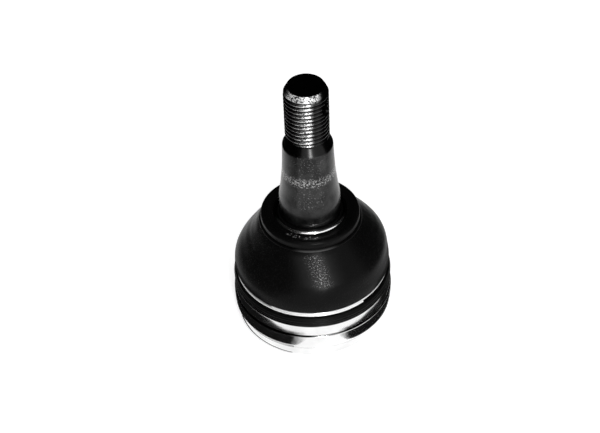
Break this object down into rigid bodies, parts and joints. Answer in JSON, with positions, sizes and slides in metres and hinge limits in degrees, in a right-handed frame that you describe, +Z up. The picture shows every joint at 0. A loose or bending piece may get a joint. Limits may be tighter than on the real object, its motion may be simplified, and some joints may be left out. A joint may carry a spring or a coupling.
{
  "type": "ball joint",
  "caption": "Press-in suspension ball joint: tapered stud with threaded end, rubber dust boot held by wire rings, round steel housing with crimped base.",
  "frame": {"origin": "centre of the base, on the stud's axis, at the level of the surface it stands on", "axes": "+Z up the stud towards its threaded end; +X to the right as seen from the front, +Y away"},
  "size_m": [0.0452, 0.0452, 0.0807],
  "materials": {
    "bright_steel": "turned bright steel, lightly oiled",
    "stud_steel": "dark grey phosphate coated steel, satin",
    "spring_wire": "bright drawn spring wire",
    "boot_rubber": "black moulded rubber, satin",
    "seat_polymer": "natural acetal",
    "plate_steel": "pressed steel"
  },
  "bodies": {
    "housing": {"housing": "bright_steel", "closing_plate": "plate_steel", "disc_spring": "plate_steel", "pressure_plate": "plate_steel", "upper_bearing_shell": "seat_polymer", "dust_boot": "boot_rubber", "lower_clamp_ring": "spring_wire"},
    "lower_seat": {"lower_bearing_cup": "seat_polymer"},
    "boot_top": {"upper_clamp_ring": "spring_wire"},
    "stud": {"ball_stud": "stud_steel"}
  },
  "joints": [
    {"name": "lean_direction", "type": "hinge", "parent": "housing", "child": "lower_seat", "pos_m": [0, 0, 0.01703], "axis": [0, 0, 1], "continuous": true},
    {"name": "lean", "type": "hinge", "parent": "lower_seat", "child": "boot_top", "pos_m": [0, 0, 0.01703], "axis": [0, 1, 0], "range_deg": [-25, 25], "deforming": ["dust_boot"]},
    {"name": "stud_spin", "type": "hinge", "parent": "boot_top", "child": "stud", "pos_m": [0, 0, 0.01703], "axis": [0, 0, 1], "continuous": true}
  ]
}
